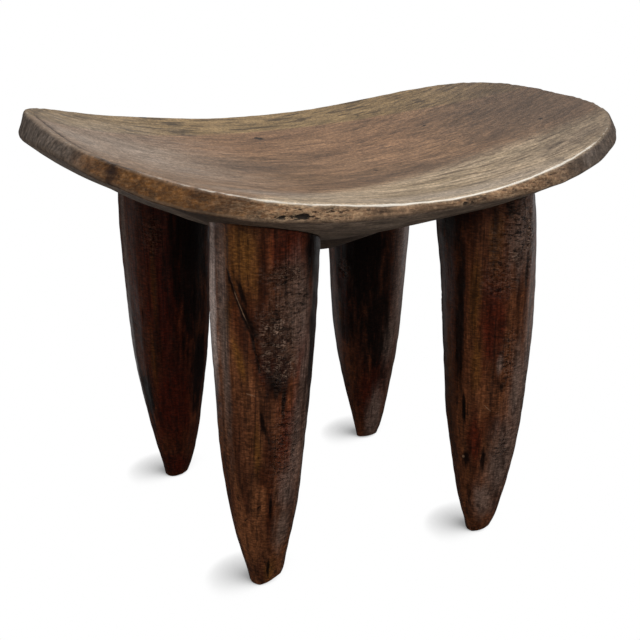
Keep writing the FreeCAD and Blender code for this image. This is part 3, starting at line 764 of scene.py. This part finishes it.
class Finish:
    """A node tree being built. Each method but fill adds nodes and returns what they put out."""

    def __init__(self, tree):
        self.tree = tree

    def fill(self, node, inputs):
        """Set a node's inputs: one that is given a socket gets linked, and any other gets the value."""
        for key, value in inputs.items():
            if isinstance(value, bpy.types.NodeSocket):
                self.tree.links.new(value, node.inputs[key])
            else:
                node.inputs[key].default_value = value

    def add(self, kind, inputs, output=0, **settings):
        """Add a node. Returns one output, or all of them where output is None."""
        node = self.tree.nodes.new("ShaderNode" + kind)
        for name, value in settings.items():
            setattr(node, name, value)
        self.fill(node, inputs)
        return node.outputs if output is None else node.outputs[output]

    def group(self, group, inputs):
        """Place a group and return its outputs."""
        return self.add("Group", inputs, None, node_tree=group)

    def field(self, name):
        """A painted field of the piece."""
        return self.add("Attribute", {}, "Fac", attribute_name=name)

    def sum(self, operation, *values):
        """One step of arithmetic."""
        return self.add("Math", dict(enumerate(values)), operation=operation)

    def part(self, mask, share):
        """A mask times a share or another mask."""
        return self.sum("MULTIPLY", mask, share)

    def total(self, start, *masks):
        """A start value plus masks, each times its weight."""
        for mask, weight in masks:
            start = self.sum("MULTIPLY_ADD", mask, weight, start)
        return start

    def vector(self, operation, *values, output=0):
        """One step of arithmetic with vectors."""
        return self.add("VectorMath", dict(enumerate(values)), output, operation=operation)

    def split(self, vector):
        """The X, Y and Z of a vector."""
        return self.add("SeparateXYZ", {0: vector}, None)

    def noise(self, place, cells, detail=3.0, roughness=0.55, distortion=0.0, output="Fac"):
        """Noise with so many cells to the metre: one number, or three that stretch the place."""
        if isinstance(cells, tuple):
            place, cells = self.vector("MULTIPLY", place, cells), 1.0
        inputs = {"Vector": place, "Scale": cells, "Detail": detail, "Roughness": roughness}
        return self.add("TexNoise", {**inputs, "Distortion": distortion}, output)

    def step(self, value, low, high):
        """A smooth rise from 0 at low to 1 at high."""
        inputs = {"Value": value, "From Min": low, "From Max": high}
        return self.add("MapRange", inputs, interpolation_type="SMOOTHSTEP")

    def mix(self, share, first, second, blend_type="MIX"):
        """A share of the second colour over the first."""
        inputs = {0: share, 6: first, 7: second}
        return self.add("Mix", inputs, 2, data_type="RGBA", blend_type=blend_type)

    def between(self, mask, low, high):
        """From one screen colour to another by a mask."""
        return self.mix(mask, tone(*low), tone(*high))

    def layered(self, colour, *layers):
        """A colour with screen colours laid over it in turn, each by its mask and its share."""
        for mask, share, screen in layers:
            colour = self.mix(self.part(mask, share), colour, tone(*screen))
        return colour

    def shaded(self, colour, mask, low, high):
        """A colour times low where a mask is 0 and times high where it is 1, each a number or three."""
        ends = [(*np.broadcast_to(factor, 3).tolist(), 1.0) for factor in (low, high)]
        return self.mix(1.0, colour, self.mix(mask, *ends), "MULTIPLY")


SOCKETS = {"value": "NodeSocketFloat", "vector": "NodeSocketVector"}


def new_group(name, inputs, outputs):
    """An empty shader group: its tree as a Finish, its inner inputs and a way to set its outputs."""
    tree = bpy.data.node_groups.new(name, "ShaderNodeTree")
    for label, kind in inputs.items():
        tree.interface.new_socket(label, in_out="INPUT", socket_type=SOCKETS[kind])
    for label in outputs:
        tree.interface.new_socket(label, in_out="OUTPUT", socket_type=SOCKETS["value"])
    given = tree.nodes.new("NodeGroupInput").outputs
    result = tree.nodes.new("NodeGroupOutput")
    f = Finish(tree)

    def put_out(**values):
        f.fill(result, {label.title(): socket for label, socket in values.items()})

    return f, given, put_out


def timber_group():
    """Grain of solid wood along X: growth rings about a pith line, streaks, fibres, dark lines and pores."""
    inputs = {"Position": "vector", "Pith": "vector", "Ring Width": "value", "Fineness": "value"}
    f, given, put_out = new_group("timber", inputs, ("Rings", "Streaks", "Fibres", "Lines", "Pores"))
    position = given["Position"]
    wander = f.noise(position, (2.2, 16, 16), 2.0, output="Color")
    wander = f.vector("MULTIPLY", f.vector("SUBTRACT", wander, (0.5, 0.5, 0.5)), (0, 0.022, 0.022))
    strayed = f.vector("ADD", position, wander)
    from_pith = f.vector("MULTIPLY", f.vector("SUBTRACT", strayed, given["Pith"]), (0, 1, 1))
    distance = f.vector("LENGTH", from_pith, output="Value")
    sized = f.add("VectorMath", {0: strayed, 3: given["Fineness"]}, operation="SCALE")
    put_out(
        rings=f.sum("PINGPONG", f.sum("DIVIDE", distance, given["Ring Width"]), 1.0),
        streaks=f.step(f.noise(sized, (4, 60, 60), 5.0, 0.65), 0.3, 0.7),
        fibres=f.step(f.noise(sized, (22, 420, 420), 4.0, 0.7), 0.25, 0.75),
        lines=f.step(f.noise(sized, (9, 260, 260), 2.0, 0.5), 0.54, 0.65),
        pores=f.step(f.noise(position, (95, 1100, 1100), 1.0), 0.62, 0.7),
    )
    return f.tree


def ragged_group():
    """A field cut off at a half, with an edge that frays along the grain."""
    inputs = {"Field": "value", "Position": "vector", "Fray": "value", "Softness": "value"}
    f, given, put_out = new_group("ragged_edge", inputs, ("Mask",))
    fray = f.noise(given["Position"], (32, 190, 190), 5.0, 0.6)
    moved = f.sum("MULTIPLY_ADD", f.sum("SUBTRACT", fray, 0.5), given["Fray"], given["Field"])
    low, high = f.sum("SUBTRACT", 0.5, given["Softness"]), f.sum("ADD", 0.5, given["Softness"])
    put_out(mask=f.step(moved, low, high))
    return f.tree


def speckle_group():
    """Cut grain: fine light and dark specks, and the pits between them."""
    f, given, put_out = new_group("speckle", {"Position": "vector", "Scale": "value"}, ("Specks", "Pits"))
    specks = f.noise(given["Position"], given["Scale"], 3.0, 0.7)
    pits = f.noise(given["Position"], f.part(given["Scale"], 0.65), 3.0, 0.6)
    put_out(specks=f.step(specks, 0.42, 0.64), pits=f.step(pits, 0.55, 0.63))
    return f.tree


def scratch_group():
    """A scratch: a mask that is 1 on the straight line between two points and fades within its width."""
    inputs = {"Position": "vector", "Start": "vector", "End": "vector", "Width": "value"}
    f, given, put_out = new_group("scratch", inputs, ("Mask",))
    along = f.vector("SUBTRACT", given["End"], given["Start"])
    reach = f.vector("SUBTRACT", given["Position"], given["Start"])
    dot = f.vector("DOT_PRODUCT", reach, along, output="Value")
    square = f.vector("DOT_PRODUCT", along, along, output="Value")
    share = f.add("Math", {0: dot, 1: square}, operation="DIVIDE", use_clamp=True)
    nearest = f.add("VectorMath", {0: along, 3: share}, operation="SCALE")
    distance = f.vector("DISTANCE", reach, nearest, output="Value")
    width = f.part(given["Width"], f.noise(given["Position"], 260.0, 2.0))
    fade = f.step(distance, f.part(width, 0.6), f.part(width, 2.0))
    put_out(mask=f.sum("SUBTRACT", 1.0, fade))
    return f.tree


TIMBER, RAGGED, SPECKLE, SCRATCH = timber_group(), ragged_group(), speckle_group(), scratch_group()


def new_material(name):
    """A material, the finish to build in its tree, its shader, and its object coordinates."""
    material = bpy.data.materials.new(name)
    material.use_nodes = True
    f = Finish(material.node_tree)
    return material, f, f.tree.nodes["Principled BSDF"], f.add("TexCoord", {}, "Object")


def upright_grain(f, place):
    """A place turned so that upright grain runs along X."""
    x, y, z = f.split(place)
    return f.add("CombineXYZ", {0: z, 1: x, 2: y})


def fraying(f, place):
    """A way to make masks of painted fields whose edges fray along the grain at a place."""
    def edge(name, fray, softness):
        inputs = {"Field": f.field(name), "Position": place, "Fray": fray, "Softness": softness}
        return f.group(RAGGED, inputs)["Mask"]

    return edge


def finish_off(f, shader, gloss, colour, roughness, relief):
    """Join a finish to its shader. The gloss is plain all over, and the relief a height in millimetres."""
    bump = f.add("Bump", {"Strength": 1.0, "Distance": MM, "Height": relief})
    shader.inputs["Specular IOR Level"].default_value = gloss
    f.fill(shader, {"Base Color": colour, "Roughness": roughness, "Normal": bump})


def seat_material():
    """Waxed seat wood: grey-brown heart, olive sapwood along the edges, a speckled wall and a lip worn
    smooth, with painted highlights, sheen and shade.
    """
    material, f, shader, place = new_material("seat_wood")
    edge = fraying(f, place)
    wood = {"Position": f.vector("MULTIPLY", place, (3, 1, 1)), "Pith": (0, 0.02, 0.12), "Ring Width": 0.016}
    rings, streaks, fibres, lines, pores = f.group(TIMBER, {**wood, "Fineness": 0.55})
    _, fine_streaks, _, fine_lines, _ = f.group(TIMBER, {**wood, "Fineness": 1.2})
    specks, pits = f.group(SPECKLE, {"Position": f.vector("MULTIPLY", place, (0.3, 0.3, 1)), "Scale": 650.0})
    dust, _ = f.group(SPECKLE, {"Position": f.vector("MULTIPLY", place, (0.6, 0.5, 0.5)), "Scale": 560.0})
    end_streaks = f.step(f.noise(place, (170, 170, 22), 3.0, 0.6), 0.3, 0.7)
    patches = f.step(f.noise(place, (9, 24, 24), 3.0, 0.6, 0.6), 0.3, 0.7)
    on_wall, on_belly, rough_part = f.field("wall"), f.field("belly"), f.field("rough")
    gold_part, wear_and_highlight = edge("gold", 0.7, 0.3), edge("wear_and_highlight", 1.0, 0.2)
    end_part = f.step(f.field("end_grain"), 0.15, 0.6)
    side_part = f.sum("SUBTRACT", 1.0, end_part)
    broken = f.total(f.field("gouge"), (specks, -0.4))

    heart = f.layered(
        f.between(streaks, (132, 101, 73), (155, 119, 88)),
        (edge("redness", 0.7, 0.4), 0.35, (134, 96, 68)),
        (f.step(rings, 0.45, 1.0), 0.15, (90, 66, 52)),
        (lines, 0.45, (84, 61, 46)),
    )
    back = f.between(streaks, (128, 104, 69), (156, 129, 91))
    back = f.layered(back, (lines, 0.75, (66, 51, 34)))
    front = f.between(streaks, (164, 144, 115), (212, 189, 158))
    front = f.layered(front, (lines, 0.6, (96, 78, 58)))
    top = f.mix(edge("back_sapwood", 0.2, 0.05), heart, back)
    top = f.layered(
        f.mix(f.part(edge("front_sapwood", 0.5, 0.25), 0.8), top, front),
        # paler wood along the front, and a painted sheen on the left of the dish
        (edge("pale_and_sheen", 0.6, 0.45), 0.6, (182, 169, 156)),
        # painted shade along the groove inside the lip
        (f.field("groove"), 0.95, (52, 39, 31)),
    )
    wall = f.between(fine_streaks, (106, 76, 51), (180, 141, 106))
    wall = f.layered(wall, (fine_lines, 0.6, (74, 48, 30)))
    wall = f.mix(f.part(gold_part, 0.9), wall, f.between(fine_streaks, (80, 44, 8), (126, 79, 24)))
    wall = f.layered(
        f.mix(f.part(end_part, 0.9), wall, f.between(end_streaks, (78, 69, 62), (120, 108, 98))),
        (specks, f.part(f.total(0.1, (rough_part, 0.45)), side_part), (200, 172, 136)),
        (pits, f.part(f.total(0.18, (rough_part, 0.75)), side_part), (48, 31, 21)),
    )
    under = f.layered(
        f.between(fine_streaks, (100, 82, 67), (143, 121, 103)),
        (fine_lines, 0.5, (72, 56, 44)),
        (gold_part, 0.6, (78, 54, 34)),
        (edge("shade", 0.5, 0.4), 0.7, (56, 41, 30)),
    )
    colour = f.layered(
        f.mix(on_wall, top, wall),
        (edge("murk", 0.9, 0.4), 0.74, (87, 70, 57)),
        (f.step(broken, 0.15, 0.4), 0.95, (14, 9, 7)),
    )
    colour = f.mix(f.part(on_belly, 0.9), colour, under)
    colour = f.layered(colour, (f.field("ridge_shade"), 0.6, (58, 41, 28)))
    colour = f.shaded(colour, fibres, 0.58, 1.38)
    colour = f.shaded(colour, patches, (0.88, 0.87, 0.86), (1.12, 1.13, 1.14))
    colour = f.layered(
        f.shaded(colour, dust, 0.8, 1.24),
        (pores, 0.4, (50, 36, 28)),
        # a lighter band on the lip, and a painted highlight along the ridge at the left
        (f.field("lip_band"), 0.55, (134, 117, 98)),
        # a painted highlight along the crest of the lip, which is also worn smooth
        (wear_and_highlight, 0.9, (250, 241, 226)),
        (edge("stain", 1.5, 0.45), 0.85, (40, 20, 11)),
    )

    roughness = f.total(0.38, (fibres, 0.14), (wear_and_highlight, -0.2), (on_belly, 0.25), (on_wall, 0.26))
    pitted = f.part(pits, f.part(on_wall, side_part))
    relief = f.total(0.0, (fibres, 0.07), (pores, -0.1), (pitted, -0.3))
    finish_off(f, shader, 0.3, colour, roughness, relief)
    return material


# Scratches of the legs: leg, turn and height of the two ends, and width in millimetres
PALE_SCRATCHES = (
    ("front_left", (-41, 207), (-32, 205), 0.8),
    ("front_left", (-61, 139), (-45, 142), 0.8),
    ("front_left", (-57, 309), (-36, 267), 0.7),
    ("front_right", (-36, 153), (-23, 145), 0.7),
    ("front_right", (-65, 91.5), (-65, 90.5), 1.6),
)
DARK_SCRATCHES = (
    ("front_left", (-57, 75), (-28, 94), 1.0),
    ("front_left", (-60, 318), (-58, 308), 1.2),
    ("front_right", (-63, 158), (-62, 135), 1.6),
)


def leg_material():
    """Dark waxed leg wood: red-brown with upright streaks, gold and black places, rough glossy patches with
    painted glints, and painted sheen and shade.
    """
    material, f, shader, place = new_material("leg_wood")
    upright = upright_grain(f, place)
    edge = fraying(f, upright)
    wood = {"Position": upright, "Pith": (0, 0, 0), "Ring Width": 0.009, "Fineness": 1.0}
    rings, streaks, fibres, lines, pores = f.group(TIMBER, wood)
    strokes = f.vector("MULTIPLY", place, (0.5, 0.5, 1.5))
    specks, pits = f.group(SPECKLE, {"Position": strokes, "Scale": 440.0})
    rough_part, burl = edge("rough", 0.9, 0.35), edge("burl", 0.9, 0.35)
    pitted, specked = f.part(pits, rough_part), f.part(specks, rough_part)
    curly = f.step(f.noise(upright, (14, 50, 50), 2.0), 0.42, 0.62)
    curl = f.part(f.step(f.noise(upright, (330, 95, 95), 3.0, 0.6, 0.4), 0.35, 0.65), curly)
    clumps = f.part(f.step(f.noise(place, 150.0, 2.0), 0.4, 0.56), burl)
    # Painted glints: bright specks of light on the burl's glossy clumps
    painted_glints = f.part(f.step(f.noise(strokes, 330.0, 3.0, 0.6, 2.0), 0.52, 0.62), clumps)

    def scratches(table):
        mask = 0.0
        for corner, start, end, width in table:
            inputs = {"Position": place, "Start": leg_place(corner, *start), "End": leg_place(corner, *end)}
            mask = f.sum("MAXIMUM", mask, f.group(SCRATCH, {**inputs, "Width": width * MM})["Mask"])
        return mask

    colour = f.layered(
        f.between(streaks, (82, 43, 24), (131, 80, 47)),
        (edge("redness", 0.9, 0.35), 0.9, (94, 30, 7)),
        (edge("gold", 0.9, 0.35), 0.7, (116, 74, 24)),
        (f.step(rings, 0.5, 1.0), 0.3, (44, 23, 13)),
    )
    colour = f.layered(
        # painted shade, heaviest on the back legs, with some soft stains
        f.shaded(colour, f.field("shade_and_stain"), 1.0, (0.34, 0.2, 0.13)),
        # pale grey places: wax bloom, and painted sheen along the legs' edges
        (edge("bloom_and_sheen", 0.7, 0.35), 0.7, (124, 104, 93)),
        # a painted highlight strip down the left edge of a leg
        (edge("painted_highlight", 0.8, 0.3), 0.8, (214, 190, 178)),
        (edge("stain", 1.5, 0.25), 0.92, (12, 6, 4)),
        (lines, 0.5, (30, 14, 8)),
        (curl, 0.55, (34, 17, 10)),
        (pits, 0.3, (26, 13, 8)),
    )
    colour = f.layered(
        f.shaded(colour, specks, (0.74, 0.72, 0.7), 1.5),
        (burl, 0.8, (40, 22, 15)),
        (specked, 0.38, (126, 92, 72)),
        (pitted, 0.75, (12, 7, 6)),
        # painted glints on the burl
        (painted_glints, 0.6, (196, 160, 136)),
    )
    colour = f.layered(
        f.shaded(colour, fibres, 0.62, 1.34),
        (pores, 0.5, (18, 10, 7)),
        (scratches(PALE_SCRATCHES), 0.55, (164, 128, 100)),
        (scratches(DARK_SCRATCHES), 0.9, (12, 7, 5)),
    )

    roughness = f.total(0.26, (fibres, 0.2), (rough_part, -0.1))
    relief = f.total(0.0, (fibres, 0.12), (pores, -0.12), (pitted, -0.9))
    relief = f.total(relief, (specked, 0.55), (curl, -0.12))
    finish_off(f, shader, 0.24, colour, roughness, relief)
    return material


def wedge_material():
    """Bare split wood of the hidden wedges: pale, with upright grain."""
    material, f, shader, place = new_material("wedge_wood")
    wood = {"Position": upright_grain(f, place), "Pith": (0, 0, 0), "Ring Width": 0.004, "Fineness": 2.0}
    rings, streaks, fibres, _, pores = f.group(TIMBER, wood)
    colour = f.layered(
        f.between(streaks, (150, 116, 78), (190, 156, 112)),
        (rings, 0.4, (128, 94, 60)),
        (pores, 0.5, (92, 64, 40)),
    )
    finish_off(f, shader, 0.5, colour, f.total(0.6, (fibres, 0.2)), f.part(fibres, 0.1))
    return material


# Studio

PHOTO_SIDE = 640
CAMERA_TARGET = np.array([-1.33, 0.62, 201.8]) * MM
CAMERA_AZIMUTH, CAMERA_ELEVATION, CAMERA_ROLL = np.radians([-25.92, 19.53, 0.41])
CAMERA_DISTANCE = 1243.1 * MM
FOCAL_PIXELS = 1222.1
SENSOR_WIDTH = 36
FLOOR_HALF_SIDE = 12
FLOOR_GREY = (0.4, 0.4, 0.4, 1)
ROOM_LIGHT = 0.45
# The feet shade the floor this far on the side away from the light, down to this level
SHADOW_REACH, SHADOW_LEVEL = 44 * MM, 0.27
LIGHT_SIDE = (0.46, -0.86, 0.16)
# What the waxed wood mirrors: the dark, the pale stretches of the floor and the pale back of the room
MIRRORED_DARK, MIRRORED_FLOOR, MIRRORED_BACK = 0.03, 0.5, 0.3
# Softboxes: place, side and power in metres and watts, and the point that they all face
SOFTBOXES = {
    "top_softbox": ((0.3, 0.5, 1.7), 0.9, 10),
    "front_softbox": ((-0.7, -1.8, 1.6), 1.2, 14),
    "side_softbox": ((1.5, -0.5, 1.0), 0.9, 5),
}
LAMP_TARGET = (0, 0, 0.3)


def make_camera():
    """A camera at the photograph's viewing angle, turned, tilted and rolled about its target."""
    lens = bpy.data.cameras.new("camera")
    lens.sensor_width = SENSOR_WIDTH
    lens.lens = FOCAL_PIXELS * SENSOR_WIDTH / PHOTO_SIDE
    camera = set_out("camera", lens)
    turn = Matrix.Rotation(CAMERA_AZIMUTH, 4, "Z")
    tilt = Matrix.Rotation(math.pi / 2 - CAMERA_ELEVATION, 4, "X")
    roll = Matrix.Rotation(CAMERA_ROLL, 4, "Z")
    back = Matrix.Translation((0, 0, CAMERA_DISTANCE))
    camera.matrix_world = Matrix.Translation(CAMERA_TARGET) @ turn @ tilt @ roll @ back
    bpy.context.scene.camera = camera


def make_floor():
    """A plain pale floor: white to the camera but for the soft shadows of the feet.

    The waxed wood mirrors it dark, but for a pale stretch at the back left and one on the right.
    """
    mesh = bpy.data.meshes.new("floor")
    far = FLOOR_HALF_SIDE
    mesh.from_pydata([(-far, -far, 0), (far, -far, 0), (far, far, 0), (-far, far, 0)], [], [(0, 1, 2, 3)])
    floor = set_out("floor", mesh)
    material = bpy.data.materials.new("pale_floor")
    material.use_nodes = True
    tree = material.node_tree
    tree.nodes.clear()
    f = Finish(tree)
    paths = f.add("LightPath", {}, None)
    surface = f.add("NewGeometry", {}, None)
    plain = f.add("BsdfDiffuse", {"Color": FLOOR_GREY})
    x, y, _ = f.split(surface["Position"])
    back_left = f.part(f.part(f.step(y, 0.15, 0.5), f.step(x, 0.2, -0.1)), MIRRORED_FLOOR)
    back_left = f.part(back_left, f.total(1.0, (f.step(y, 0.58, 0.85), -0.88)))
    right = f.part(f.part(f.step(x, 0.4, 0.8), f.step(y, -0.25, 0.15)), MIRRORED_FLOOR)
    level = f.sum("MAXIMUM", f.sum("MAXIMUM", back_left, right), MIRRORED_DARK)
    mirrored = f.add("Emission", {"Strength": level})
    light_side = f.add("CombineXYZ", dict(enumerate(LIGHT_SIDE)))
    inputs = {"Distance": SHADOW_REACH, "Normal": light_side}
    lit = f.add("AmbientOcclusion", inputs, "AO", samples=24)
    inputs = {"Value": lit, "From Min": 0.52, "From Max": 0.96, "To Min": SHADOW_LEVEL, "To Max": 1.0}
    white = f.add("Emission", {"Strength": f.add("MapRange", inputs)})
    shown = f.add("MixShader", {0: paths["Is Glossy Ray"], 1: plain, 2: mirrored})
    shown = f.add("MixShader", {0: paths["Is Camera Ray"], 1: shown, 2: white})
    clear = f.add("BsdfTransparent", {})
    shown = f.add("MixShader", {0: surface["Backfacing"], 1: shown, 2: clear})
    f.fill(tree.nodes.new("ShaderNodeOutputMaterial"), {"Surface": shown})
    mesh.materials.append(material)


def make_studio():
    """Soft light from above, from the front and from the right, in a plain room that is white to the camera.

    The waxed wood mirrors the room dark, but for its back, high up.
    """
    for name, (place, side, power) in SOFTBOXES.items():
        lamp = bpy.data.lights.new(name, "AREA")
        lamp.shape = "SQUARE"
        lamp.size = side
        lamp.energy = power
        box = set_out(name, lamp)
        box.location = place
        box.rotation_euler = (Vector(place) - Vector(LAMP_TARGET)).to_track_quat("Z", "Y").to_euler()
    world = bpy.data.worlds.new("studio")
    bpy.context.scene.world = world
    world.use_nodes = True
    f = Finish(world.node_tree)
    paths = f.add("LightPath", {}, None)
    _, y, z = f.split(f.add("TexCoord", {}, "Generated"))
    high_at_back = f.part(f.step(y, -0.3, 0.5), f.step(z, 0.05, 0.4))
    mirrored = f.total(MIRRORED_DARK, (high_at_back, MIRRORED_BACK))
    level = f.add("Mix", {0: paths["Is Glossy Ray"], 2: ROOM_LIGHT, 3: mirrored})
    level = f.add("Mix", {0: paths["Is Camera Ray"], 2: level, 3: 1.0})
    f.fill(f.tree.nodes["Background"], {"Color": (1, 1, 1, 1), "Strength": level})
    bpy.context.scene.view_settings.view_transform = "Standard"


def hand_over(piece, node, material):
    """Give a finished skin its wood and let it stand for its part of the frame."""
    piece.data.materials.clear()
    piece.data.materials.append(material)
    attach(piece, "root")
    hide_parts(node)


make_camera()
make_floor()
make_studio()
hand_over(make_seat(), "seat", seat_material())
leg_wood = leg_material()
wedge_wood = wedge_material()
for corner in CORNERS:
    hand_over(make_leg(corner), f"leg_{corner}", leg_wood)
    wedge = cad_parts[f"wedge_{corner}"]
    wedge.data.materials.clear()
    wedge.data.materials.append(wedge_wood)
